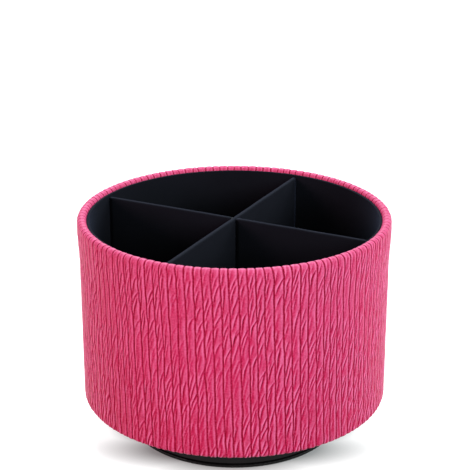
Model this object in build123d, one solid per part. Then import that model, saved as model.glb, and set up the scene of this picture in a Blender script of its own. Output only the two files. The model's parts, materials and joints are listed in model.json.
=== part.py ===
from build123d import *
import os

# Rotating pen holder: a leather-wrapped drum with four velvet pockets on a ball-bearing turntable.
# Millimetres. The origin is on the desk, under the middle of the drum, and +Z is up.
# The crossed dividers lie along X and Y, and the seam of the leather is at the back, on +Y.

# Drum, measured over its leather
DRUM_RADIUS = 93.5
DRUM_HEIGHT = 116.0
BOTTOM_ROUNDING = 2.5
LEATHER = 1.0
RIM_PADDING = 0.9
TUBE_WALL = 3.1
PADDING_START = 27.0  # below the top of the rim
PADDING_FULL = 9.0  # below the top of the rim
PADDING_LEAST = 0.07
HEM_INSIDE = 16.0  # leather turned down inside, below the top of the rim
HEM_BELOW = 11.0  # leather turned in under the bottom
SEAM_GAP = 0.3

# Lining, floor and bottom
LINING_CARD = 1.0
VELVET = 0.4
LINING_DROP = 2.3  # top of the lining, below the top of the rim
BOTTOM_BOARD = 5.0
FLOOR_CARD = 1.6
COVER = 1.0
COVER_LAP = 6.0  # how far the bottom cover lies over the leather's hem
SLIP_FIT = 0.1  # between board or card pieces that slide into each other

# Dividers
DIVIDER_BOARD = 2.0
DIVIDER_DROP = 3.8  # top of the dividers, below the top of the rim
LAP_PLAY = 0.3  # height left over where the two dividers cross

# Turntable, outside
TURNTABLE_HEIGHT = 23.0
DISH_RADIUS = 64.4
DISH_FLOOR = 2.0
DISH_EDGE = 0.5
SKIRT_INSET = 0.6  # skirt's lower edge, inside the edge of the dish
SKIRT_DRAFT = 2.3
SKIRT_WALL = 2.2
SKIRT_GAP = 0.8
SHOULDER = 1.5
TOP_PLATE = 2.5
DUST_LIP_GAP = 1.6  # inside the skirt's lower edge
DUST_LIP_HEIGHT = 3.5
MOULDED_WALL = 1.6

# Rubber pads under the dish
PAD_COUNT = 6
PAD_RADIUS = 6.0
PAD_INSET = 2.4  # inside the edge of the dish
PAD_THICKNESS = 1.5
PAD_PROUD = 1.0
PAD_EDGE = 0.3
PAD_CLEARANCE = 0.15

# Ball bearing
BALL_COUNT = 12
BALL_RADIUS = 3.0
TRACK_INSET = 18.4  # balls' circle, inside the edge of the dish
BALL_SINK = 1.0  # depth of a ball in each track
BALL_CLEARANCE = 0.08
TRACK_HEIGHT = 4.0
TRACK_WIDTH = 11.0
TRACK_FLOOR = 3.0
TRACK_WALL = 2.5
CAGE_THICKNESS = 1.6
CAGE_RIM = 1.3  # beside each pocket
POCKET_CLEARANCE = 0.2

# Pivot
PIVOT_RADIUS = 5.0
PIVOT_CLEARANCE = 0.05
PIVOT_PLAY = 0.2
BORE_LENGTH = 4.0
BOSS_WALL = 3.0
HUB_RADIUS = 9.0
HUB_GAP = 0.3
HEAD_COVER = 0.4  # pivot screw's head, inside the underside of the dish
WASHER_RADIUS = 7.5
WASHER_CLEARANCE = 0.5
WASHER_THICKNESS = 1.0

# Ribs in the turntable
RIB_COUNT = 8
DISH_RIB_HEIGHT = 3.0
TOP_RIB_LIFT = 1.0  # over the upper track
MID_RING_INSET = 14.5  # inside the inner edge of the ball track

# Screws
HEAD_RADIUS = 4.0
PAN_HEAD_HEIGHT = 2.4
SUNK_HEAD_HEIGHT = 2.2
SHANK_RADIUS = 1.65
PILOT_CLEARANCE = 0.05
HOLE_CLEARANCE = 0.45
PIVOT_THREAD = 11.0  # length in the spigot and hub
PLATE_THREAD = 10.0  # length in a boss
PLATE_SCREW_INSET = 7.5  # inside the inner edge of the ball track
PLATE_SCREW_COUNT = 4
SCREW_BOSS_RADIUS = 4.0
TIP_ROOM = 1.2  # free depth of a pilot hole past the screw's tip
BOSS_END = 1.2  # boss past its pilot hole
SLOT_WIDTH = 0.9
SLOT_LENGTH = 4.4
SLOT_DEPTH = 1.2

# Heights, from the desk up
dish_bottom = PAD_PROUD
dish_top = dish_bottom + DISH_FLOOR
skirt_bottom = dish_top + SKIRT_GAP
lower_track = dish_top + TRACK_HEIGHT
ball_height = lower_track + BALL_RADIUS - BALL_SINK
upper_track = ball_height + BALL_RADIUS - BALL_SINK
pivot_head_bottom = dish_bottom + HEAD_COVER
washer_bottom = pivot_head_bottom + PAN_HEAD_HEIGHT
spigot_bottom = washer_bottom + WASHER_THICKNESS
recess_top = spigot_bottom + PIVOT_PLAY
boss_top = recess_top + BORE_LENGTH
hub_bottom = boss_top + HUB_GAP
pivot_tip = spigot_bottom + PIVOT_THREAD
plate_bottom = TURNTABLE_HEIGHT - TOP_PLATE
plate_tip = TURNTABLE_HEIGHT - PLATE_THREAD
rib_bottom = upper_track + TOP_RIB_LIFT
board_bottom = TURNTABLE_HEIGHT + COVER
board_top = board_bottom + BOTTOM_BOARD
hem_bottom = board_bottom - LEATHER
floor_card_top = board_top + FLOOR_CARD
floor_top = floor_card_top + VELVET
rim_top = hem_bottom + DRUM_HEIGHT
lining_top = rim_top - LINING_DROP
divider_top = rim_top - DIVIDER_DROP

# Radii of the drum's wall, from the outside in
tube_outer = DRUM_RADIUS - LEATHER
tube_inner = tube_outer - TUBE_WALL
lining_outer = tube_inner - LEATHER
card_inner = lining_outer - LINING_CARD
pocket_radius = card_inner - VELVET
hem_inner = DRUM_RADIUS - BOTTOM_ROUNDING - HEM_BELOW

# The rim is a half round over the tube, its padding and two layers of leather
rim_radius = (TUBE_WALL + RIM_PADDING) / 2 + LEATHER
rim_centre = (lining_outer + rim_radius, rim_top - rim_radius)

# Rings of the turntable
skirt_bottom_radius = DISH_RADIUS - SKIRT_INSET
dust_lip_outer = skirt_bottom_radius - SKIRT_WALL - DUST_LIP_GAP
pad_circle = DISH_RADIUS - PAD_INSET - PAD_RADIUS
ball_circle = DISH_RADIUS - TRACK_INSET
track_inner = ball_circle - TRACK_WIDTH / 2
track_outer = ball_circle + TRACK_WIDTH / 2
mid_ring_radius = track_inner - MID_RING_INSET
plate_screw_circle = track_inner - PLATE_SCREW_INSET
hollow_half = TRACK_WIDTH / 2 - TRACK_WALL
groove_radius = BALL_RADIUS + BALL_CLEARANCE
bore_radius = PIVOT_RADIUS + PIVOT_CLEARANCE
recess_radius = WASHER_RADIUS + WASHER_CLEARANCE
boss_radius = recess_radius + BOSS_WALL

divider_thickness = DIVIDER_BOARD + 2 * VELVET
UPRIGHT = (Align.CENTER, Align.CENTER, Align.MIN)


def cylinder(radius, bottom, top):
    """Upright cylinder about Z between two heights."""
    return Pos(0, 0, bottom) * Cylinder(radius, top - bottom, align=UPRIGHT)


def ring(inner, outer, bottom, top):
    """Upright ring about Z between two heights."""
    return cylinder(outer, bottom, top) - cylinder(inner, bottom, top)


def slab(length, width, bottom, top):
    """Block centred on Z, length along X and width along Y, between two heights."""
    return Pos(0, 0, bottom) * Box(length, width, top - bottom, align=UPRIGHT)


def turned(*lines):
    """Solid turned about Z from a closed outline in (radius, height)."""
    edges = [edge for line in lines for edge in line.edges()]
    return revolve(Plane.XZ * make_face(edges), Axis.Z)


def around(count, radius, shape):
    """Copies of a shape, evenly spaced on a circle about Z, the first one on +X."""
    return [place * shape for place in PolarLocations(radius, count)]


def spokes(inner, outer, bottom, top):
    """Straight moulded ribs from one radius to another."""
    middle = (inner + outer) / 2
    return around(RIB_COUNT, middle, slab(outer - inner, MOULDED_WALL, bottom, top))


def ball_groove():
    """Round groove that the balls run in, a little larger than the balls."""
    return Pos(0, 0, ball_height) * Torus(ball_circle, groove_radius)


def skirt_radius(height):
    """Outside radius of the tapered skirt at a height."""
    rise = (height - skirt_bottom) / (TURNTABLE_HEIGHT - skirt_bottom)
    return skirt_bottom_radius - SKIRT_DRAFT * rise


def rubber_pad():
    """Foot pad, glued into its recess in the dish."""
    pad = cylinder(PAD_RADIUS, 0, PAD_THICKNESS)
    return chamfer(pad.edges().group_by(Axis.Z)[0], PAD_EDGE)


def base_dish():
    """Lower half of the turntable: a dish with the lower ball track and the bearing boss."""
    dish = cylinder(DISH_RADIUS, dish_bottom, dish_top)
    dish = fillet(dish.edges().filter_by(GeomType.CIRCLE), DISH_EDGE)
    dish += ring(track_inner, track_outer, dish_bottom, lower_track)
    dish += ring(dust_lip_outer - MOULDED_WALL, dust_lip_outer, dish_bottom, dish_top + DUST_LIP_HEIGHT)
    dish += cylinder(boss_radius, dish_bottom, boss_top)
    rib_top = dish_top + DISH_RIB_HEIGHT
    dish += ring(mid_ring_radius - MOULDED_WALL, mid_ring_radius, dish_bottom, rib_top)
    dish += spokes(boss_radius - MOULDED_WALL, track_inner + MOULDED_WALL, dish_bottom, rib_top)
    dish -= ball_groove()
    hollow_top = ball_height - groove_radius - DISH_FLOOR
    dish -= ring(ball_circle - hollow_half, ball_circle + hollow_half, dish_bottom, hollow_top)
    dish -= cylinder(recess_radius, dish_bottom, recess_top)
    dish -= cylinder(bore_radius, recess_top, boss_top)
    seat = cylinder(PAD_RADIUS + PAD_CLEARANCE, dish_bottom, PAD_THICKNESS)
    dish -= around(PAD_COUNT, pad_circle, seat)
    return dish


def ball_cage():
    """Flat ring with a round pocket for each ball."""
    half = BALL_RADIUS + POCKET_CLEARANCE + CAGE_RIM
    bottom = ball_height - CAGE_THICKNESS / 2
    top = ball_height + CAGE_THICKNESS / 2
    pocket = cylinder(BALL_RADIUS + POCKET_CLEARANCE, bottom, top)
    cage = ring(ball_circle - half, ball_circle + half, bottom, top)
    return cage - around(BALL_COUNT, ball_circle, pocket)


def turntable_top():
    """Upper half of the turntable: skirt, top plate, upper ball track, hub and spigot."""
    top = TURNTABLE_HEIGHT
    hollow_floor = upper_track + TRACK_FLOOR
    body = turned(
        Polyline(
            (0, top),
            (0, spigot_bottom),
            (PIVOT_RADIUS, spigot_bottom),
            (PIVOT_RADIUS, hub_bottom),
            (HUB_RADIUS, hub_bottom),
            (HUB_RADIUS, plate_bottom),
            (track_inner, plate_bottom),
            (track_inner, upper_track),
            (track_outer, upper_track),
            (track_outer, plate_bottom),
            (skirt_radius(plate_bottom) - SKIRT_WALL, plate_bottom),
            (skirt_bottom_radius - SKIRT_WALL, skirt_bottom),
            (skirt_bottom_radius, skirt_bottom),
            (skirt_radius(top), top),
            (ball_circle + hollow_half, top),
            (ball_circle + hollow_half, hollow_floor),
            (ball_circle - hollow_half, hollow_floor),
            (ball_circle - hollow_half, top),
            (0, top),
        )
    )
    rim = body.edges().filter_by(GeomType.CIRCLE).group_by(Axis.Z)[-1].sort_by(SortBy.RADIUS)[-1]
    body = fillet(rim, SHOULDER)
    body += ring(mid_ring_radius - MOULDED_WALL, mid_ring_radius, rib_bottom, plate_bottom)
    body += spokes(HUB_RADIUS - MOULDED_WALL, track_inner + MOULDED_WALL, rib_bottom, plate_bottom)
    skirt_reach = skirt_radius(plate_bottom) - SKIRT_WALL / 2
    body += spokes(track_outer - MOULDED_WALL, skirt_reach, rib_bottom, plate_bottom)
    pilot_end = plate_tip - TIP_ROOM
    body += plate_screw_places(cylinder(SCREW_BOSS_RADIUS, pilot_end - BOSS_END, plate_bottom))
    body -= ball_groove()
    pilot = SHANK_RADIUS + PILOT_CLEARANCE
    body -= cylinder(pilot, spigot_bottom, pivot_tip + TIP_ROOM)
    body -= plate_screw_places(cylinder(pilot, pilot_end, top))
    return body


def plate_screw_places(shape):
    """Copies of a shape at the plate screws, which stand between the ribs."""
    turn = Rot(0, 0, 180 / RIB_COUNT)
    return [turn * copy for copy in around(PLATE_SCREW_COUNT, plate_screw_circle, shape)]


def cross_recess(bottom, top):
    """Cross that a screwdriver fits."""
    return slab(SLOT_LENGTH, SLOT_WIDTH, bottom, top) + slab(SLOT_WIDTH, SLOT_LENGTH, bottom, top)


def pivot_screw():
    """Pan-head screw that holds the two halves of the turntable together, from below."""
    head = cylinder(HEAD_RADIUS, pivot_head_bottom, washer_bottom)
    head = fillet(head.edges().group_by(Axis.Z)[0], PAN_HEAD_HEIGHT / 2)
    screw = head + cylinder(SHANK_RADIUS, pivot_head_bottom, pivot_tip)
    return screw - cross_recess(pivot_head_bottom, pivot_head_bottom + SLOT_DEPTH)


def pivot_washer():
    """Wide washer that carries the dish when the holder is lifted."""
    return ring(SHANK_RADIUS + HOLE_CLEARANCE, WASHER_RADIUS, washer_bottom, spigot_bottom)


def plate_screw():
    """Countersunk screw from inside the drum, down into a boss of the turntable."""
    screw = turned(
        Polyline(
            (0, plate_tip),
            (SHANK_RADIUS, plate_tip + SHANK_RADIUS),
            (SHANK_RADIUS, board_top - SUNK_HEAD_HEIGHT),
            (HEAD_RADIUS, board_top),
            (0, board_top),
            (0, plate_tip),
        )
    )
    return screw - cross_recess(board_top - SLOT_DEPTH, board_top)


def plate_screws():
    """The four plate screws."""
    return Compound(children=[copy.solid() for copy in plate_screw_places(plate_screw())])


def bottom_cover():
    """Black sheet under the drum: flat on the board, then stepped down over the leather's hem."""
    step = hem_inner - 2 * SLIP_FIT
    return turned(
        Polyline(
            (0, board_bottom),
            (0, TURNTABLE_HEIGHT),
            (step - COVER, TURNTABLE_HEIGHT),
            (step - COVER, hem_bottom - COVER),
            (hem_inner + COVER_LAP, hem_bottom - COVER),
            (hem_inner + COVER_LAP, hem_bottom),
            (step, hem_bottom),
            (step, board_bottom),
            (0, board_bottom),
        )
    ) - plate_screw_places(cylinder(SHANK_RADIUS + HOLE_CLEARANCE, hem_bottom - COVER, board_bottom))


def bottom_board():
    """Round board that closes the tube and takes the plate screws."""
    board = cylinder(tube_inner - SLIP_FIT, board_bottom, board_top)
    hole = cylinder(SHANK_RADIUS + HOLE_CLEARANCE, board_bottom, board_top)
    wide = HEAD_RADIUS + SLIP_FIT
    sunk_depth = SUNK_HEAD_HEIGHT * wide / (HEAD_RADIUS - SHANK_RADIUS)
    sink = Pos(0, 0, board_top - sunk_depth) * Cone(0, wide, sunk_depth, align=UPRIGHT)
    return board - plate_screw_places(hole) - plate_screw_places(sink)


def wall_tube():
    """Stiff round wall of the drum, rounded over at the top and at its outer bottom edge."""
    inside_rounding = BOTTOM_ROUNDING - LEATHER
    top_half = TUBE_WALL / 2
    shoulder = rim_top - LEATHER - RIM_PADDING - top_half
    return turned(
        Line((tube_inner, shoulder), (tube_inner, board_bottom)),
        Line((tube_inner, board_bottom), (tube_outer - inside_rounding, board_bottom)),
        CenterArc((tube_outer - inside_rounding, board_bottom + inside_rounding), inside_rounding, -90, 90),
        Line((tube_outer, board_bottom + inside_rounding), (tube_outer, shoulder)),
        CenterArc((tube_inner + top_half, shoulder), top_half, 0, 180),
    )


def rim_foam():
    """Soft padding between tube and leather: a wedge up the outside that rounds over the top."""
    top_half = TUBE_WALL / 2
    shoulder = rim_top - LEATHER - RIM_PADDING - top_half
    foam_radius = rim_radius - LEATHER
    centre_r, centre_z = rim_centre
    share = PADDING_LEAST / RIM_PADDING
    wedge_height = PADDING_START - PADDING_FULL
    wedge_bottom = rim_top - PADDING_START + share * wedge_height
    inner_end = Vector(centre_r, centre_z) + Vector(foam_radius, 0).rotate(Axis.Z, 160)
    tube_end = Vector(tube_inner + top_half, shoulder) + Vector(top_half, 0).rotate(Axis.Z, 140)
    return turned(
        Line((tube_outer, shoulder), (tube_outer, wedge_bottom)),
        Line((tube_outer, wedge_bottom), (tube_outer + PADDING_LEAST, wedge_bottom)),
        Line((tube_outer + PADDING_LEAST, wedge_bottom), (centre_r + foam_radius, rim_top - PADDING_FULL)),
        Line((centre_r + foam_radius, rim_top - PADDING_FULL), (centre_r + foam_radius, centre_z)),
        CenterArc(rim_centre, foam_radius, 0, 160),
        Line(inner_end, tube_end),
        CenterArc((tube_inner + top_half, shoulder), top_half, 0, 140),
    )


def leather_wrap():
    """One sheet of leather: in under the bottom, up the wall, over the rim and down inside."""
    corner = (DRUM_RADIUS - BOTTOM_ROUNDING, hem_bottom + BOTTOM_ROUNDING)
    inside_rounding = BOTTOM_ROUNDING - LEATHER
    wall_top = rim_top - PADDING_START
    flare_top = rim_top - PADDING_FULL
    hem_end = rim_top - HEM_INSIDE
    centre_r, centre_z = rim_centre
    outside = centre_r + rim_radius
    under = outside - LEATHER
    sheet = turned(
        Line((hem_inner, board_bottom), (hem_inner, hem_bottom)),
        Line((hem_inner, hem_bottom), (corner[0], hem_bottom)),
        CenterArc(corner, BOTTOM_ROUNDING, -90, 90),
        Line((DRUM_RADIUS, corner[1]), (DRUM_RADIUS, wall_top)),
        Line((DRUM_RADIUS, wall_top), (outside, flare_top)),
        Line((outside, flare_top), (outside, centre_z)),
        CenterArc(rim_centre, rim_radius, 0, 180),
        Line((lining_outer, centre_z), (lining_outer, hem_end)),
        Line((lining_outer, hem_end), (tube_inner, hem_end)),
        Line((tube_inner, hem_end), (tube_inner, centre_z)),
        CenterArc(rim_centre, rim_radius - LEATHER, 0, 180),
        Line((under, centre_z), (under, flare_top)),
        Line((under, flare_top), (tube_outer, wall_top)),
        Line((tube_outer, wall_top), (tube_outer, corner[1])),
        CenterArc(corner, inside_rounding, -90, 90),
        Line((corner[0], board_bottom), (hem_inner, board_bottom)),
    )
    seam = Pos(0, outside / 2, 0) * slab(SEAM_GAP, outside + 2 * LEATHER, 0, rim_top + LEATHER)
    return sheet - seam


def lining_card():
    """Card ring that holds the velvet against the wall."""
    return ring(card_inner, lining_outer, board_top, lining_top - VELVET)


def lining_velvet():
    """Velvet on the card ring, turned over its top edge."""
    cloth = ring(pocket_radius, card_inner, board_top, lining_top)
    return cloth + ring(card_inner, lining_outer, lining_top - VELVET, lining_top)


def floor_disc(bottom, top):
    """Round sheet that drops in between the velvet of the wall."""
    return cylinder(pocket_radius - SLIP_FIT, bottom, top)


def divider_reach():
    """Half length of a divider, whose square end meets the round lining at its edges."""
    return (pocket_radius**2 - (divider_thickness / 2) ** 2) ** 0.5 - SLIP_FIT


def crossing_slot(bottom, top):
    """Slot that the other divider stands in."""
    width = divider_thickness + 2 * SLIP_FIT
    return slab(width, 2 * divider_thickness, bottom, top)


def divider(slot):
    """Board and velvet of the divider along X, both cut by the slot."""
    length = 2 * divider_reach()
    board_edge = divider_top - VELVET
    board = slab(length, DIVIDER_BOARD, floor_top, board_edge)
    cloth = slab(length, divider_thickness, floor_top, divider_top) - board
    return board - slot, cloth - slot


nodes = {"base_dish": base_dish()}
for number, pad in enumerate(around(PAD_COUNT, pad_circle, rubber_pad()), 1):
    nodes[f"rubber_pad_{number}"] = pad

nodes["ball_cage"] = ball_cage()
ball = Pos(0, 0, ball_height) * Sphere(BALL_RADIUS)
for number, copy in enumerate(around(BALL_COUNT, ball_circle, ball), 1):
    nodes[f"ball_{number:02d}"] = copy

nodes["turntable_top"] = turntable_top()
nodes["pivot_screw"] = pivot_screw()
nodes["pivot_washer"] = pivot_washer()
nodes["plate_screws"] = plate_screws()

nodes["bottom_cover"] = bottom_cover()
nodes["bottom_board"] = bottom_board()
nodes["wall_tube"] = wall_tube()
nodes["rim_foam"] = rim_foam()
nodes["leather_wrap"] = leather_wrap()
nodes["lining_card"] = lining_card()
nodes["lining_velvet"] = lining_velvet()
nodes["floor_card"] = floor_disc(board_top, floor_card_top)
nodes["floor_velvet"] = floor_disc(floor_card_top, floor_top)

crossing = (floor_top + divider_top) / 2
x_board, x_velvet = divider(crossing_slot(crossing, divider_top))
y_board, y_velvet = divider(crossing_slot(floor_top, crossing + LAP_PLAY))
quarter_turn = Rot(0, 0, 90)
nodes["divider_x_board"] = x_board
nodes["divider_x_velvet"] = x_velvet
nodes["divider_y_board"] = quarter_turn * y_board
nodes["divider_y_velvet"] = quarter_turn * y_velvet

os.makedirs("parts", exist_ok=True)
for name, shape in nodes.items():
    export_step(shape, f"parts/{name}.step")
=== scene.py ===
import json
import math

import bmesh
import bpy
import numpy as np
from mathutils import Matrix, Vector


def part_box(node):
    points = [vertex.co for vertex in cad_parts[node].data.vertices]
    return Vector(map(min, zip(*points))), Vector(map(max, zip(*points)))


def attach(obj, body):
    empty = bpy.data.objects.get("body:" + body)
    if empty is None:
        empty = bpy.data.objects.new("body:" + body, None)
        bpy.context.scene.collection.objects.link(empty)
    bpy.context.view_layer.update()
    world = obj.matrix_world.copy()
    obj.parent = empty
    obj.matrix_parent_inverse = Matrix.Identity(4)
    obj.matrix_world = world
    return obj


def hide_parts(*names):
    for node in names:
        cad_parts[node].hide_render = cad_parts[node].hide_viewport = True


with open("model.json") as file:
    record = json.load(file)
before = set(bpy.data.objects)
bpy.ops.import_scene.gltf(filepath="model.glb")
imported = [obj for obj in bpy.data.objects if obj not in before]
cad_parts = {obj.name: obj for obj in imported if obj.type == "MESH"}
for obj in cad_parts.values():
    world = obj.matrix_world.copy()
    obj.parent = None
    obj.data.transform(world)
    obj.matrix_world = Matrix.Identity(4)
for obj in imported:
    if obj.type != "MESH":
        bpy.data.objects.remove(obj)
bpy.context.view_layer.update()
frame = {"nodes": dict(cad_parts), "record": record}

# Looks of a rotating pen holder: embossed pink leather, dark velvet and a black turntable.
# Metres, in the frame of the CAD model: dividers along X and Y, the leather's seam on +Y.
MM = 0.001

# Sizes that the CAD model has too
wrap_low, wrap_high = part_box("leather_wrap")
tube_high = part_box("wall_tube")[1]
card_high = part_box("lining_card")[1]
RIM_TOP = wrap_high.z
HEM_BOTTOM = wrap_low.z
LEATHER = RIM_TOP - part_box("rim_foam")[1].z
TUBE_RADIUS = tube_high.x
TUBE_THICKNESS = 3.1 * MM
WALL_RADIUS = TUBE_RADIUS + LEATHER
LIP_OUTER = wrap_high.x
LIP_INNER = card_high.x
LIP_RADIUS = (LIP_OUTER - LIP_INNER) / 2
LIP_CENTRE = (LIP_INNER + LIP_RADIUS, RIM_TOP - LIP_RADIUS)
PADDING_START = RIM_TOP - 27 * MM
PADDING_FULL = RIM_TOP - 9 * MM
BOTTOM_ROUNDING = 2.5 * MM
HEM_BELOW = 11 * MM
HEM_INSIDE = 16 * MM
SEAM_GAP = 0.3 * MM
VELVET = 0.4 * MM
SLIP_FIT = 0.1 * MM
LAP_PLAY = 0.3 * MM
COVER = 1.0 * MM
POCKET_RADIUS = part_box("floor_velvet")[1].x + SLIP_FIT
SCREW_COUNT = 4
SCREW_TURN = math.pi / 8
SCREW_CIRCLE = 33.0 * MM
SCREW_HOLE = 2.1 * MM

# Sizes of the sheets and the padding alone
CLEAR = 0.02 * MM  # air between a sheet and what it covers
SHARP = 0.1 * MM  # rounding of cut edges
SCREW_HOLE_HEIGHTS = (20 * MM, 27 * MM)  # ends of the tool that cuts the cover's holes
FOAM_END = 160  # degrees round the lip
FOAM_MEETS_TUBE = 141  # degrees round the tube's top

# Dividers: points along half a divider, up each stretch of a side and over the top
DIVIDER_COLUMNS = 30
DIVIDER_ROWS = 12
DIVIDER_TOP_POINTS = 15
DIVIDER_TOP_POWER = 0.6  # 1 is a half circle, less is squarer
DIVIDER_SAG = 0.04 * MM

# Steps of the meshes along a section
ROW_STEP = 0.9 * MM
HEM_STEP = 1.4 * MM
INSIDE_STEP = 3 * MM
BACK_STEP = 6 * MM

# Emboss of the leather: strands side by side, each crossed by slanting creases. Lengths in millimetres,
# and the places of the mesh's columns across a strand as shares of its width.
STRANDS = 119
ACROSS = np.array((0.0, 0.055, 0.12, 0.2, 0.29, 0.38, 0.47, 0.56, 0.65, 0.74, 0.83, 0.91))
GROOVE_DEPTH = 0.36
GROOVE_HALF_WIDTH = 0.36
CROWN_DEPTH = 0.3
CROWN_POWER = 2.2
CREASE_DEPTH = 0.46
RIDGE_HEIGHT = 0.18
CREASE_ROOT = 0.06  # where a crease begins, as a share of the strand's width
KINK = 0.35  # how far a groove bends at the root of a crease
STREAKS = 4  # for each strand
STREAK_DEPTH = 0.05
DEEPEST = 0.9
RELIEF_KEPT = 0.76  # share of the depth that is left over the lip
RELIEF_FADE = 24  # length from the lip's start in which it would sink to nothing
CREASES_KEPT = 0.2  # share of the creases' strength that is left over the lip
CREASES_FADE = 7  # length in which they would sink to nothing
CREASES_END = 3  # end of that length, past the lip's start
UNEVEN = 0.45  # how far a groove as a whole is off its even place
WOBBLE = 0.36  # how far it wanders along its way
LEAN = math.tan(math.radians(1.5))
HEM_FADE_ROWS = 9  # rows at the bottom hem in which the relief grows
HEM_FADE_START = 0.3  # its share in the first of them
CALM_STRANDS = 3  # strands beside the seam that run ever straighter
CREST_REACH = 3  # columns to either side that a crest is measured against
SEED = 11


# Meshes

def add_object(name, data):
    piece = bpy.data.objects.new(name, data)
    bpy.context.scene.collection.objects.link(piece)
    return piece


def smooth_object(name, shape):
    """Object with smooth shading from a bmesh, with its normals facing out."""
    bmesh.ops.recalc_face_normals(shape, faces=shape.faces)
    mesh = bpy.data.meshes.new(name)
    shape.to_mesh(mesh)
    shape.free()
    mesh.shade_smooth()
    return add_object(name, mesh)


def grid(rows):
    """bmesh of four-sided faces over rows of points."""
    shape = bmesh.new()
    placed = [[shape.verts.new(point) for point in row] for row in rows]
    for near, far in zip(placed, placed[1:]):
        for corners in zip(near, near[1:], far[1:], far):
            shape.faces.new(corners)
    return shape


def lathe(name, outline, segments=192):
    """Object turned about Z from an outline in (radius, height), closed or from axis to axis."""
    angles = np.linspace(0, 2 * math.pi, segments + 1)
    if outline[0][0] > 0:
        outline = np.concatenate([outline, outline[:1]])
    shape = grid([[(r * math.cos(a), r * math.sin(a), z) for a in angles] for r, z in outline])
    bmesh.ops.remove_doubles(shape, verts=shape.verts, dist=1e-7)
    return smooth_object(name, shape)


def rounded(corners, radii, count=5):
    """Closed outline whose corners are rounded off over a length each."""
    corners = np.array(corners)
    share = np.linspace(0, 1, count)[:, None]
    points = []
    for k, radius in enumerate(radii):
        corner, before, after = corners[k], corners[k - 1], corners[(k + 1) % len(corners)]
        start = corner + (before - corner) / np.linalg.norm(before - corner) * radius
        end = corner + (after - corner) / np.linalg.norm(after - corner) * radius
        curve = (1 - share) ** 2 * start + 2 * share * (1 - share) * corner + share**2 * end
        points.append(curve if radius else corner[None])
    return np.concatenate(points)


def with_modifiers(piece):
    """The same piece, its mesh replaced by what its modifiers make of it."""
    bpy.context.view_layer.update()
    evaluated = piece.evaluated_get(bpy.context.evaluated_depsgraph_get())
    mesh = bpy.data.meshes.new_from_object(evaluated)
    piece.modifiers.clear()
    piece.data = mesh
    return piece


def arc(centre, radius, start, end, count):
    """Points and outward normals along an arc in (radius, height), without its first point."""
    angles = np.radians(np.linspace(start, end, count + 1)[1:])
    normals = np.stack([np.cos(angles), np.sin(angles)], 1)
    return np.array(centre) + radius * normals, normals


def run(start, end, step):
    """Points and outward normals along a straight line, without its first point."""
    start, end = np.array(start), np.array(end)
    length = float(np.linalg.norm(end - start))
    count = max(1, round(length / step))
    along = (end - start) / length
    share = np.linspace(0, 1, count + 1)[1:, None]
    return start + (end - start) * share, np.repeat([[along[1], -along[0]]], count, 0)


# Leather wrap

def leather_outline():
    """Closed outline of the sheet: its face from the bottom hem over the rim to the inside hem, then its
    back the same way home. Gives points, normals and the number of points on the face."""
    corner = (WALL_RADIUS - BOTTOM_ROUNDING, HEM_BOTTOM + BOTTOM_ROUNDING)
    hem_start = corner[0] - HEM_BELOW
    hem_end = RIM_TOP - HEM_INSIDE
    lip_z = LIP_CENTRE[1]
    face = [
        run((hem_start, HEM_BOTTOM), (corner[0], HEM_BOTTOM), HEM_STEP),
        arc(corner, BOTTOM_ROUNDING, -90, 0, 6),
        run((WALL_RADIUS, corner[1]), (WALL_RADIUS, PADDING_START), ROW_STEP),
        run((WALL_RADIUS, PADDING_START), (LIP_OUTER, PADDING_FULL), ROW_STEP),
        run((LIP_OUTER, PADDING_FULL), (LIP_OUTER, lip_z), ROW_STEP),
        arc(LIP_CENTRE, LIP_RADIUS, 0, 180, 16),
        run((LIP_INNER, lip_z), (LIP_INNER, hem_end), INSIDE_STEP),
    ]
    back = [
        run((LIP_INNER, hem_end), (LIP_INNER + LEATHER, hem_end), LEATHER),
        run((LIP_INNER + LEATHER, hem_end), (LIP_INNER + LEATHER, lip_z), BACK_STEP),
        arc(LIP_CENTRE, LIP_RADIUS - LEATHER, 180, 0, 8),
        run((LIP_OUTER - LEATHER, lip_z), (LIP_OUTER - LEATHER, PADDING_FULL), BACK_STEP),
        run((LIP_OUTER - LEATHER, PADDING_FULL), (TUBE_RADIUS, PADDING_START), BACK_STEP),
        run((TUBE_RADIUS, PADDING_START), (TUBE_RADIUS, corner[1]), BACK_STEP),
        arc(corner, BOTTOM_ROUNDING - LEATHER, 0, -90, 4),
        run((corner[0], HEM_BOTTOM + LEATHER), (hem_start, HEM_BOTTOM + LEATHER), BACK_STEP),
    ]
    points, normals = (np.concatenate(part) for part in zip(*face, *back))
    return points, normals, sum(len(p) for p, _ in face)


def smooth_noise(rng, curves, length, knot, spread=0):
    """Smooth random curves over a length, with a value at each knot, each curve a little like its
    neighbours after some rounds of spreading."""
    count = int(length / knot) + 4
    values = rng.normal(size=(curves, count))
    for _ in range(spread):
        values = (np.roll(values, 1, 0) + 2 * values + np.roll(values, -1, 0)) / 4
    values /= values.std()

    def at(curve, s):
        i, share = np.divmod(s / knot, 1)
        i = i.astype(int)
        share = share * share * (3 - 2 * share)
        return values[curve, i] * (1 - share) + values[curve, i + 1] * share

    return at


def bell(x, middle, half_width):
    """Smooth bump of height 1 round a middle."""
    return np.exp(-(((x - middle) / half_width) ** 2))


def creases(rng, length):
    """Creases that cross one strand: where each begins, its rise, how far across it ends, how late it
    bends over and its strength."""
    s = -rng.uniform(4, 14)
    while s < length:
        rise, end = rng.uniform(9.0, 17.0), rng.uniform(0.35, 0.95)
        bend, strength = rng.uniform(1.2, 2.2), rng.uniform(0.5, 1.0)
        yield s, rise, end, bend, strength
        s += rng.uniform(4.5, 10.5)


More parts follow.
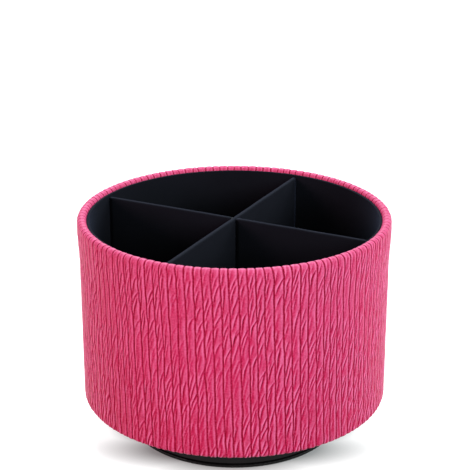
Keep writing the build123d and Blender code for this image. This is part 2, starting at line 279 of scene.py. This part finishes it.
def leather_relief(s, width, lip):
    """Depth below the sheet's face, for each row, strand and column across the strand, and how far each
    groove wanders sideways, in millimetres. The relief is pulled flatter from the lip on."""
    rng = np.random.default_rng(SEED)
    length = float(s.max()) + 1
    fine = smooth_noise(rng, STRANDS, length, knot=8.0)
    slow = smooth_noise(rng, STRANDS, length, knot=26.0, spread=2)
    busy = smooth_noise(rng, STRANDS, length, knot=24.0, spread=2)
    deep = smooth_noise(rng, STRANDS, length, knot=12.0)
    streak = smooth_noise(rng, STREAKS * STRANDS, length, knot=7.0)
    uneven = rng.uniform(-UNEVEN, UNEVEN, STRANDS)
    on_wall = np.clip((lip + CREASES_END - s) / CREASES_FADE, CREASES_KEPT, 1)
    flatter = np.clip(1 - (s - lip) / RELIEF_FADE, RELIEF_KEPT, 1)[:, None, None]
    knot, share = np.divmod(STREAKS * ACROSS, 1)
    knot = knot.astype(int)
    x = ACROSS[None, :] * width
    groove = bell(np.minimum(x, width - x), 0, GROOVE_HALF_WIDTH)
    crown = CROWN_DEPTH * np.abs(2 * ACROSS[None, :] - 1) ** CROWN_POWER
    depth = np.zeros((len(s), STRANDS, len(ACROSS)))
    shift = np.zeros((len(s), STRANDS))
    for strand in range(STRANDS):
        shift[:, strand] = uneven[strand] + WOBBLE * (0.6 * fine(strand, s) + 0.7 * slow(strand, s))

        # The groove's depth and the creases' strength vary along the strand
        strong = np.clip(1 + 0.3 * deep(strand, s), 0.4, 1.2)[:, None]
        relief = RIDGE_HEIGHT + GROOVE_DEPTH * strong * groove + crown
        activity = on_wall * np.clip(0.8 + 0.4 * busy(strand, s), 0.25, 1.1)

        # Each crease is a valley with a shallower one beyond it and a ridge before it
        for start, rise, end, bend, strength in creases(rng, length):
            t = np.clip((s - start) / rise, 0, 1)
            if t.max() == 0:
                continue
            centre = (CREASE_ROOT + (end - CREASE_ROOT) * t**bend) * width
            fade = (strength * activity * np.sin(np.pi * t**1.3) ** 0.6)[:, None]
            away = x - centre[:, None]
            valley = bell(away, 0.45, 0.4) + 0.25 * bell(away, 1.1, 0.7)
            ridge = bell(away, -0.3, 0.4)
            relief = relief + fade * (CREASE_DEPTH * valley - RIDGE_HEIGHT * ridge)
            shift[:, strand] += KINK * strength * activity * bell(s, start + 2.5, 2.5)

        # Shallow streaks run along the strand
        knots = range(STREAKS * strand, STREAKS * (strand + 1) + 1)
        waves = np.stack([streak(k % (STREAKS * STRANDS), s) for k in knots], 1)
        relief = relief + STREAK_DEPTH * (waves[:, knot] * (1 - share) + waves[:, knot + 1] * share)
        depth[:, strand, :] = relief
    return np.clip(depth * flatter, 0, DEEPEST), shift


def lay_round(points, normals, angle, depth):
    """Positions of an outline's points turned about Z from the seam on, and set in by a depth."""
    radius = points[:, :1] - normals[:, :1] * depth
    height = points[:, 1:] - normals[:, 1:] * depth
    x, y = radius * np.cos(angle + math.pi / 2), radius * np.sin(angle + math.pi / 2)
    return np.stack([x, y, height], 2)


def strips(index):
    """Four-sided faces between the rows and columns of a grid of vertices."""
    corners = index[:-1, :-1], index[:-1, 1:], index[1:, 1:], index[1:, :-1]
    return np.stack(corners, 2).reshape(-1, 4).tolist()


def leather_wrap():
    """The embossed sheet round the drum, as a closed mesh with a butt seam at the back."""
    points, normals, shown = leather_outline()
    steps = np.linalg.norm(np.diff(points[:shown], axis=0, prepend=points[:1]), axis=1)
    s = np.cumsum(steps) / MM
    pitch = 2 * math.pi / STRANDS
    on_lip = points[:shown, 1] > LIP_CENTRE[1]
    depth, shift = leather_relief(s, WALL_RADIUS * pitch / MM, s[on_lip].min())
    depth[:HEM_FADE_ROWS] *= np.linspace(HEM_FADE_START, 1, HEM_FADE_ROWS)[:, None, None]

    # Grooves wander and lean, but run straight beside the seam
    strand = np.arange(STRANDS)
    calm = np.clip(np.minimum(strand, STRANDS - strand) / CALM_STRANDS, 0, 1)
    lean = -LEAN * (s[:, None] - s.max() / 2)
    moved = (shift + lean) * calm * MM / WALL_RADIUS
    turn = moved[:, :, None] * (1 - ACROSS) + np.roll(moved, -1, 1)[:, :, None] * ACROSS
    angle = ((strand[:, None] + ACROSS) * pitch + turn).reshape(shown, -1)
    angle = np.concatenate([angle, np.full((shown, 1), 2 * math.pi)], 1)
    depth = depth.reshape(shown, -1)
    depth = np.concatenate([depth, depth[:, :1]], 1)
    seam = SEAM_GAP / WALL_RADIUS / 2
    angle = np.clip(angle, seam, 2 * math.pi - seam)

    # The face is fine, the back has one column for each strand
    each = len(ACROSS)
    face = lay_round(points[:shown], normals[:shown], angle, depth * MM)
    back_angle = np.repeat(angle[-1:, ::each], len(points) - shown, 0)
    back = lay_round(points[shown:], normals[shown:], back_angle, 0 * back_angle)
    index = np.arange(depth.size).reshape(depth.shape)
    under = depth.size + np.arange(back_angle.size).reshape(back_angle.shape)
    faces = strips(index) + strips(under)
    for k in range(STRANDS):
        part = slice(k * each, (k + 1) * each + 1)
        faces.append([*index[-1, part].tolist(), under[0, k + 1], under[0, k]])
        faces.append([*index[0, part].tolist()[::-1], under[-1, k], under[-1, k + 1]])
    faces.append(index[:, 0].tolist() + under[:, 0].tolist())
    faces.append(under[::-1, -1].tolist() + index[::-1, -1].tolist())
    mesh = bpy.data.meshes.new("leather_embossed")
    mesh.from_pydata(np.concatenate([face.reshape(-1, 3), back.reshape(-1, 3)]), [], faces)
    mesh.shade_smooth()

    # How deep and how ridged each point is, for the colour: painted shade in the grooves and creases,
    # painted highlight on the ridges
    columns = range(-CREST_REACH, CREST_REACH + 1)
    around = sum(np.roll(depth, k, 1) for k in columns) / len(columns)
    around[1:-1] = (around[:-2] + around[1:-1] + around[2:]) / 3
    for name, values in ("crevice", depth), ("crest", around - depth):
        filled = np.concatenate([values.ravel(), np.zeros(under.size)])
        mesh.attributes.new(name, "FLOAT", "POINT").data.foreach_set("value", filled.astype(np.float32))
    return add_object("leather_embossed", mesh)


# Velvet, cover and padding

def lining_velvet():
    """Velvet on the wall of the pockets, turned over the top edge of its card."""
    low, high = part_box("lining_velvet")
    outer, back, under = high.x - CLEAR, POCKET_RADIUS + VELVET - CLEAR, card_high.z + CLEAR
    corners = [
        (POCKET_RADIUS, low.z),
        (POCKET_RADIUS, high.z),
        (outer, high.z),
        (outer, under),
        (back, under),
        (back, low.z),
    ]
    radii = [SHARP, 0.4 * MM, 0.15 * MM, SHARP, SHARP, SHARP]
    return lathe("lining_cloth", rounded(corners, radii))


def floor_velvet():
    """Round of velvet on the floor of the pockets."""
    low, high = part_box("floor_velvet")
    corners = [(0, low.z), (high.x, low.z), (high.x, high.z), (0, high.z)]
    return lathe("floor_cloth", rounded(corners, [0, SHARP, 0.25 * MM, 0]))


def divider_velvet(name, slot_from_top):
    """Velvet up one face of a divider's board, over its rounded top and down the other face, with the
    slot where the dividers cross in its upper or its lower half."""
    low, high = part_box(name)
    reach, half = max(high.x, high.y), min(high.x, high.y)
    middle = (low.z + high.z) / 2
    slot_low, slot_high = (middle, high.z + half) if slot_from_top else (low.z - half, middle + LAP_PLAY)
    slot_half = half + SLIP_FIT
    left = np.linspace(-reach, -slot_half, DIVIDER_COLUMNS)
    right = np.linspace(slot_half, reach, DIVIDER_COLUMNS)
    stations = np.concatenate([left, right])
    edge = slot_low if slot_from_top else slot_high
    shoulder = high.z - half
    lower = np.linspace(low.z, edge, DIVIDER_ROWS)
    upper = np.linspace(edge, shoulder, DIVIDER_ROWS)
    sides = np.concatenate([lower, upper[1:]])
    turn = np.linspace(math.pi, 0, DIVIDER_TOP_POINTS)
    round_y = half * np.sign(np.cos(turn)) * np.abs(np.cos(turn)) ** DIVIDER_TOP_POWER
    round_z = shoulder + half * np.sin(turn) ** DIVIDER_TOP_POWER
    y = np.concatenate([np.full(len(sides), -half), round_y[1:-1], np.full(len(sides), half)])
    z = np.concatenate([sides, round_z[1:-1], sides[::-1]])

    # The top sags a little, more in some places than in others
    rng = np.random.default_rng(SEED)
    wave = smooth_noise(rng, 1, 2 * reach / MM + 1, knot=14.0)(0, (stations + reach) / MM)
    rows = []
    for x, sag in zip(stations, DIVIDER_SAG * np.clip(wave + 1.5, 0, 3)):
        drop = sag * np.clip((z - low.z) / (high.z - low.z), 0, 1) ** 6
        rows.append([(x, side, up) for side, up in zip(y, z - drop)])
    shape = grid(rows)

    # The slot is cut out of the grid before the cloth gets its thickness
    gone = []
    for face in shape.faces:
        centre = face.calc_center_median()
        if abs(centre.x) < slot_half and slot_low < centre.z < slot_high:
            gone.append(face)
    bmesh.ops.delete(shape, geom=gone, context="FACES")
    if high.y > high.x:
        bmesh.ops.rotate(shape, matrix=Matrix.Rotation(math.pi / 2, 3, "Z"), verts=shape.verts)
    piece = smooth_object(name + "_cloth", shape)
    thick = piece.modifiers.new("thickness", "SOLIDIFY")
    thick.thickness = VELVET - CLEAR
    thick.offset = -1
    thick.use_even_offset = True
    return with_modifiers(piece)


def bottom_cover():
    """Black sheet under the drum, stepped down over the leather's hem, with holes for the plate screws."""
    low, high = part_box("bottom_cover")
    hem_inner = WALL_RADIUS - BOTTOM_ROUNDING - HEM_BELOW
    step = hem_inner - 2 * SLIP_FIT
    upper = high.z - COVER
    corners = [
        (0, upper),
        (step - COVER, upper),
        (step - COVER, low.z),
        (high.x, low.z),
        (high.x, upper),
        (step, upper),
        (step, high.z),
        (0, high.z),
    ]
    edge = 0.3 * MM
    piece = lathe("cover_sheet", rounded(corners, [0, edge, edge, edge, edge, edge, edge, 0]))
    under, over = SCREW_HOLE_HEIGHTS
    bore = np.array([(0, under), (SCREW_HOLE, under), (SCREW_HOLE, over), (0, over)])
    for k in range(SCREW_COUNT):
        turn = SCREW_TURN + k * 2 * math.pi / SCREW_COUNT
        hole = lathe("hole", bore, segments=32)
        hole.location = (SCREW_CIRCLE * math.cos(turn), SCREW_CIRCLE * math.sin(turn), 0)
        cut = piece.modifiers.new("hole", "BOOLEAN")
        cut.object = hole
        cut.operation = "DIFFERENCE"
        with_modifiers(piece)
        bpy.data.objects.remove(hole)
    return piece


def rim_padding():
    """Thin foam between tube and leather: a wedge up the outside that rounds over the top."""
    tube_half = TUBE_THICKNESS / 2
    shoulder = tube_high.z - tube_half
    centre = (TUBE_RADIUS - tube_half, shoulder)
    foam = LIP_RADIUS - LEATHER - CLEAR
    outside = LIP_CENTRE[0] + foam
    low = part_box("rim_foam")[0].z
    parts = [
        run((TUBE_RADIUS + CLEAR, shoulder), (TUBE_RADIUS + CLEAR, low), INSIDE_STEP),
        run((TUBE_RADIUS + CLEAR, low), (TUBE_RADIUS + 2 * CLEAR, low), INSIDE_STEP),
        run((TUBE_RADIUS + 2 * CLEAR, low), (outside, PADDING_FULL), INSIDE_STEP),
        run((outside, PADDING_FULL), (outside, LIP_CENTRE[1]), INSIDE_STEP),
        arc(LIP_CENTRE, foam, 0, FOAM_END, 12),
        arc(centre, tube_half + CLEAR, FOAM_MEETS_TUBE, 0, 10),
    ]
    return lathe("rim_padding", np.concatenate([p for p, _ in parts]))


# Materials

def srgb(*channels):
    """Linear colour from 0..255 channels."""
    shares = [c / 255 for c in channels]
    return tuple(c / 12.92 if c <= 0.0404 else ((c + 0.055) / 1.055) ** 2.4 for c in shares)


def material(name, color, roughness, **constants):
    """Principled material with constant values, numbers or colours, on the shader's own sockets."""
    made = bpy.data.materials.new(name)
    made.use_nodes = True
    shader = made.node_tree.nodes["Principled BSDF"]
    shader.inputs["Base Color"].default_value = (*color, 1)
    shader.inputs["Roughness"].default_value = roughness
    for socket, value in constants.items():
        value = (*value, 1) if isinstance(value, tuple) else value
        shader.inputs[socket.replace("_", " ")].default_value = value
    return made, shader


def node(made, kind, **settings):
    """New node in the tree of a material or a world."""
    new = made.node_tree.nodes.new(kind)
    for key, value in settings.items():
        setattr(new, key, value)
    return new


def link(made, source, target):
    made.node_tree.links.new(source, target)


def position(made):
    """Object coordinates, in metres."""
    return node(made, "ShaderNodeTexCoord").outputs["Object"]


def height_of(made, where):
    """Z of a position."""
    parts = node(made, "ShaderNodeSeparateXYZ")
    link(made, where, parts.inputs["Vector"])
    return parts.outputs["Z"]


def calculated(made, operation, *values):
    """Result of a Math node over two sockets."""
    new = node(made, "ShaderNodeMath", operation=operation)
    for value, target in zip(values, new.inputs):
        link(made, value, target)
    return new.outputs["Value"]


def distance(made, vector):
    """Length of a vector."""
    new = node(made, "ShaderNodeVectorMath", operation="LENGTH")
    link(made, vector, new.inputs[0])
    return new.outputs["Value"]


def seen(made):
    """1 where the camera or a reflection looks, 0 for the light that falls on other things."""
    rays = node(made, "ShaderNodeLightPath")
    return calculated(made, "MAXIMUM", rays.outputs["Is Camera Ray"], rays.outputs["Is Glossy Ray"])


def noise(made, vector, size, detail=3.0, rough=0.5):
    """Noise whose features are about size metres across."""
    texture = node(made, "ShaderNodeTexNoise")
    for name, value in ("Scale", 1 / size), ("Detail", detail), ("Roughness", rough):
        texture.inputs[name].default_value = value
    link(made, vector, texture.inputs["Vector"])
    return texture.outputs["Fac"]


def mapped(made, value, low, high, to_low=0.0, to_high=1.0):
    """Maps low..high of a value to another range."""
    remap = node(made, "ShaderNodeMapRange")
    remap.inputs["From Min"].default_value = low
    remap.inputs["From Max"].default_value = high
    remap.inputs["To Min"].default_value = to_low
    remap.inputs["To Max"].default_value = to_high
    link(made, value, remap.inputs["Value"])
    return remap.outputs["Result"]


def blended(made, share, first, second):
    """Mixes two colours, each a socket or a plain colour, by a share from 0 to 1."""
    mix = node(made, "ShaderNodeMix", data_type="RGBA")
    link(made, share, mix.inputs["Factor"])
    for name, color in ("A", first), ("B", second):
        if isinstance(color, tuple):
            mix.inputs[name].default_value = (*color, 1)
        else:
            link(made, color, mix.inputs[name])
    return mix.outputs["Result"]


def bump(made, shader, height, depth, strength):
    raised = node(made, "ShaderNodeBump")
    raised.inputs["Distance"].default_value = depth
    raised.inputs["Strength"].default_value = strength
    link(made, height, raised.inputs["Height"])
    link(made, raised.outputs["Normal"], shader.inputs["Normal"])


def pink_leather():
    """Pink between grooves, with painted highlights on the ridges, along the rim and higher up, and
    painted shade in the grooves, the creases and lower down.
    """
    made, shader = material(
        "pink_leather",
        srgb(210, 30, 90),
        roughness=0.42,
        Specular_IOR_Level=0.13,
        Specular_Tint=srgb(255, 224, 252),
    )
    where = position(made)
    blotch = mapped(made, noise(made, where, 14 * MM, 4), 0.3, 0.7)
    tone = blended(made, blotch, srgb(208, 30, 83), srgb(216, 44, 97))
    height = height_of(made, where)
    # Painted light and shade: paler towards the top and redder towards the bottom, after how the lamps
    # fall on the wall
    painted_top_light = mapped(made, height, RIM_TOP - 60 * MM, RIM_TOP - 10 * MM, 0.0, 0.08)
    painted_bottom_shade = mapped(made, height, RIM_TOP - 60 * MM, HEM_BOTTOM + 10 * MM, 0.0, 0.4)
    tone = blended(made, painted_top_light, tone, srgb(250, 120, 170))
    tone = blended(made, painted_bottom_shade, tone, srgb(196, 0, 58))
    crest = node(made, "ShaderNodeAttribute", attribute_name="crest").outputs["Fac"]
    # Painted highlight: a pale lilac band along the top of the rim
    rim = mapped(made, height, RIM_TOP - 3 * MM, RIM_TOP - 0.5 * MM, 0.0, 0.18)
    tone = blended(made, rim, tone, srgb(252, 150, 200))
    # Painted highlight on the ridges beside the creases, painted shade in the creases' valleys
    tone = blended(made, mapped(made, crest, 0.02, 0.17), tone, srgb(250, 118, 167))
    tone = blended(made, mapped(made, crest, -0.01, -0.14), tone, srgb(164, 0, 54))
    crevice = node(made, "ShaderNodeAttribute", attribute_name="crevice").outputs["Fac"]
    # Painted shade: darker red in the grooves
    tone = blended(made, mapped(made, crevice, 0.45, 0.75), tone, srgb(154, 0, 38))
    grain = noise(made, where, 0.5 * MM, 3, 0.6)
    speckle = noise(made, where, 0.9 * MM, 2, 0.6)
    tone = blended(made, mapped(made, speckle, 0.5, 0.7, 0.0, 0.35), tone, srgb(250, 104, 158))
    tone = blended(made, mapped(made, speckle, 0.5, 0.3, 0.0, 0.3), tone, srgb(160, 8, 56))
    link(made, tone, shader.inputs["Base Color"])
    skin = mapped(made, grain, 0.3, 0.7, 0.36, 0.48)
    duller = mapped(made, crevice, 0.3, 0.7, 0.0, 0.35)
    link(made, calculated(made, "ADD", skin, duller), shader.inputs["Roughness"])
    bump(made, shader, grain, depth=0.05 * MM, strength=0.6)
    return made


def black_velvet():
    """Blue-black pile with a faint sheen, painted paler near the rim where more light reaches."""
    made, shader = material(
        "black_velvet",
        srgb(10, 11, 15),
        roughness=0.95,
        Specular_IOR_Level=0.1,
        Sheen_Weight=0.14,
        Sheen_Roughness=0.4,
        Sheen_Tint=srgb(106, 116, 156),
    )
    where = position(made)
    nap = mapped(made, noise(made, where, 22 * MM, 3), 0.3, 0.7)
    tone = blended(made, nap, srgb(8, 9, 13), srgb(13, 14, 19))
    # Painted light: the pile is paler towards the top of the pockets, where more light reaches
    painted_light_near_rim = mapped(made, height_of(made, where), RIM_TOP - 30 * MM, RIM_TOP - 5 * MM, 0.0, 0.45)
    tone = blended(made, painted_light_near_rim, tone, srgb(24, 25, 34))
    link(made, tone, shader.inputs["Base Color"])
    bump(made, shader, noise(made, where, 0.25 * MM, 2, 0.7), depth=0.1 * MM, strength=0.5)
    return made


def black_plastic():
    """Moulded black with a fine spark texture."""
    made, shader = material("black_plastic", srgb(16, 16, 17), 0.42, Specular_IOR_Level=0.15)
    where = position(made)
    spark = noise(made, where, 0.35 * MM, 2)
    blotch = mapped(made, noise(made, where, 9 * MM, 2), 0.3, 0.7)
    link(made, blended(made, blotch, srgb(14, 14, 15), srgb(19, 18, 19)), shader.inputs["Base Color"])
    link(made, mapped(made, spark, 0.3, 0.7, 0.36, 0.5), shader.inputs["Roughness"])
    bump(made, shader, spark, depth=0.02 * MM, strength=0.5)
    return made


def grained(name, dark, light, roughness, grain_size, metallic):
    """Material with a fine grain between two tones."""
    made, shader = material(name, dark, roughness, Metallic=metallic)
    grain = noise(made, position(made), grain_size, 4)
    link(made, blended(made, mapped(made, grain, 0.3, 0.7), dark, light), shader.inputs["Base Color"])
    link(made, mapped(made, grain, 0.3, 0.7, roughness * 0.9, roughness), shader.inputs["Roughness"])
    bump(made, shader, grain, depth=0.03 * MM, strength=0.4)
    return made


# Grained finishes: two tones, roughness, grain size and whether it is a metal
GRAINED = {
    "cage_plastic": (srgb(220, 219, 212), srgb(230, 229, 224), 0.5, 2 * MM, 0),
    "pad_rubber": (srgb(34, 34, 36), srgb(44, 44, 46), 0.8, 0.6 * MM, 0),
    "ball_steel": (srgb(198, 200, 204), srgb(206, 208, 212), 0.12, 3 * MM, 1),
    "screw_steel": (srgb(172, 174, 178), srgb(188, 190, 194), 0.35, 0.8 * MM, 1),
    "fibreboard": (srgb(146, 112, 78), srgb(172, 136, 98), 0.85, 0.8 * MM, 0),
    "greyboard": (srgb(140, 136, 128), srgb(160, 156, 148), 0.9, 0.7 * MM, 0),
    "foam": (srgb(226, 224, 218), srgb(240, 238, 232), 0.9, 0.5 * MM, 0),
    "cover_sheet": (srgb(24, 23, 25), srgb(36, 35, 37), 0.6, 0.5 * MM, 0),
}
finishes = {
    "pink_leather": pink_leather(),
    "black_velvet": black_velvet(),
    "black_plastic": black_plastic(),
}
finishes |= {slot: grained(slot, *values) for slot, values in GRAINED.items()}
slots = {part["node"]: part["material_slot"] for part in frame["record"]["subparts"]}


def paint(piece, slot):
    piece.data.materials.clear()
    piece.data.materials.append(finishes[slot])


def dress(piece, node_name):
    """Lets a piece stand for a node of the holder, in that node's material."""
    paint(piece, slots[node_name])
    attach(piece, "holder")
    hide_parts(node_name)


for node_name, slot in slots.items():
    paint(frame["nodes"][node_name], slot)


# Sheets and padding in place of the plain solids

leather = leather_wrap()
dress(leather, "leather_wrap")

padding = rim_padding()
dress(padding, "rim_foam")

lining = lining_velvet()
dress(lining, "lining_velvet")

ground = floor_velvet()
dress(ground, "floor_velvet")

for axis, slot_from_top in ("x", True), ("y", False):
    cloth = divider_velvet(f"divider_{axis}_velvet", slot_from_top)
    dress(cloth, f"divider_{axis}_velvet")

cover = bottom_cover()
dress(cover, "bottom_cover")


# Camera, lamps and floor

CAMERA_AWAY = 0.8
CAMERA_HEIGHT = 0.423
CAMERA_AZIMUTH = math.radians(26.6)
CAMERA_PITCH = math.radians(20.485)
FOCAL_PIXELS = 1414.5
IMAGE_WIDTH = 470
SENSOR_WIDTH = 36
SHIFT_X = 0.0014

lens = bpy.data.cameras.new("camera")
lens.sensor_width = SENSOR_WIDTH
lens.lens = SENSOR_WIDTH * FOCAL_PIXELS / IMAGE_WIDTH
lens.shift_x = SHIFT_X
camera = add_object("camera", lens)
camera.location = (
    math.sin(CAMERA_AZIMUTH) * CAMERA_AWAY,
    -math.cos(CAMERA_AZIMUTH) * CAMERA_AWAY,
    CAMERA_HEIGHT,
)
camera.rotation_euler = (math.pi / 2 - CAMERA_PITCH, 0, CAMERA_AZIMUTH)
bpy.context.scene.camera = camera


def lamp(name, azimuth, elevation, away, size, power, color):
    """Square soft box that faces the drum, at angles in degrees from the camera's direction and from
    the level."""
    data = bpy.data.lights.new(name, "AREA")
    data.size = size
    data.energy = power
    data.color = color
    box = add_object(name, data)
    around = math.radians(azimuth) + CAMERA_AZIMUTH
    up = math.radians(elevation)
    flat = math.cos(up) * away
    box.location = (math.sin(around) * flat, -math.cos(around) * flat, math.sin(up) * away + RIM_TOP / 2)
    box.rotation_euler = (math.pi / 2 - up, 0, around)


lamp("left", -52, 16, 1.5, 0.4, 10.8, (1.0, 0.62, 0.68))
lamp("front", 42, 26, 1.6, 0.6, 14.2, (0.95, 1.1, 1.1))
lamp("side", 95, 26, 1.6, 0.6, 6.6, (0.96, 1.07, 1.07))
lamp("back", 184, 54, 1.5, 0.9, 24, (0.84, 1.04, 1.12))

SKY_STRENGTH = 0.15


def white_world():
    """Plain white where it is seen, dim as a light."""
    world = bpy.data.worlds.new("world")
    world.use_nodes = True
    sky = world.node_tree.nodes["Background"]
    sky.inputs["Color"].default_value = (1, 1, 1, 1)
    sky.inputs["Strength"].default_value = SKY_STRENGTH
    white = node(world, "ShaderNodeBackground")
    white.inputs["Color"].default_value = (1, 1, 1, 1)
    either = node(world, "ShaderNodeMixShader")
    link(world, seen(world), either.inputs["Fac"])
    link(world, sky.outputs["Background"], either.inputs[1])
    link(world, white.outputs["Background"], either.inputs[2])
    link(world, either.outputs["Shader"], world.node_tree.nodes["World Output"].inputs["Surface"])
    return world


bpy.context.scene.world = white_world()

# Painted shadow on the floor: its glow is held low in an oval before the turntable and in a narrow ring
# round it
OVAL_AHEAD = 39.5 * MM
OVAL_CENTRE = (math.sin(CAMERA_AZIMUTH) * OVAL_AHEAD, -math.cos(CAMERA_AZIMUTH) * OVAL_AHEAD, 0)
OVAL_START = 50 * MM
OVAL_END = 86 * MM
OVAL_FADE_END = 1.3 * OVAL_END
OVAL_DEPTH = 0.335
RING_START = 62 * MM
RING_END = 82 * MM

# Glow of the floor in the oval's middle, at its end and beyond, and in the ring's middle
OVAL_GLOW = 0.155
OVAL_END_GLOW = 0.9
FADE_GLOW = 0.15
RING_GLOW = 0.25
FLOOR_GREY = 0.4
FLOOR_REACH = 4.0


def white_floor():
    """White ground: its own grey under the lamps, lifted to plain white away from the drum, with a painted
    shadow round the drum where the lift stays low.
    """
    made = bpy.data.materials.new("floor_white")
    made.use_nodes = True
    made.node_tree.nodes.clear()
    diffuse = node(made, "ShaderNodeBsdfDiffuse")
    diffuse.inputs["Color"].default_value = (FLOOR_GREY, FLOOR_GREY, FLOOR_GREY, 1)
    where = position(made)
    oval = node(made, "ShaderNodeMapping", vector_type="TEXTURE")
    oval.inputs["Location"].default_value = OVAL_CENTRE
    oval.inputs["Rotation"].default_value = (0, 0, CAMERA_AZIMUTH)
    oval.inputs["Scale"].default_value = (1, OVAL_DEPTH, 1)
    link(made, where, oval.inputs["Vector"])
    away = distance(made, oval.outputs["Vector"])
    # Painted shadow: the glow is low in the oval and the ring and climbs to white beyond them
    near = mapped(made, away, OVAL_START, OVAL_END, OVAL_GLOW, OVAL_END_GLOW)
    far = mapped(made, away, OVAL_END, OVAL_FADE_END, 0.0, FADE_GLOW)
    ring = mapped(made, distance(made, where), RING_START, RING_END, RING_GLOW, 1.0)
    lift = calculated(made, "MINIMUM", calculated(made, "ADD", near, far), ring)
    glow = node(made, "ShaderNodeEmission")
    glow.inputs["Color"].default_value = (1, 1, 1, 1)
    link(made, calculated(made, "MULTIPLY", seen(made), lift), glow.inputs["Strength"])
    both = node(made, "ShaderNodeAddShader")
    link(made, diffuse.outputs["BSDF"], both.inputs[0])
    link(made, glow.outputs["Emission"], both.inputs[1])
    out = node(made, "ShaderNodeOutputMaterial")
    link(made, both.outputs["Shader"], out.inputs["Surface"])
    return made


def floor():
    """Flat square round the origin, far larger than the picture."""
    reach = FLOOR_REACH
    corners = [(-reach, -reach, 0), (reach, -reach, 0), (reach, reach, 0), (-reach, reach, 0)]
    mesh = bpy.data.meshes.new("floor")
    mesh.from_pydata(corners, [], [(0, 1, 2, 3)])
    mesh.materials.append(white_floor())
    add_object("floor", mesh)


floor()
bpy.context.scene.view_settings.view_transform = "Standard"
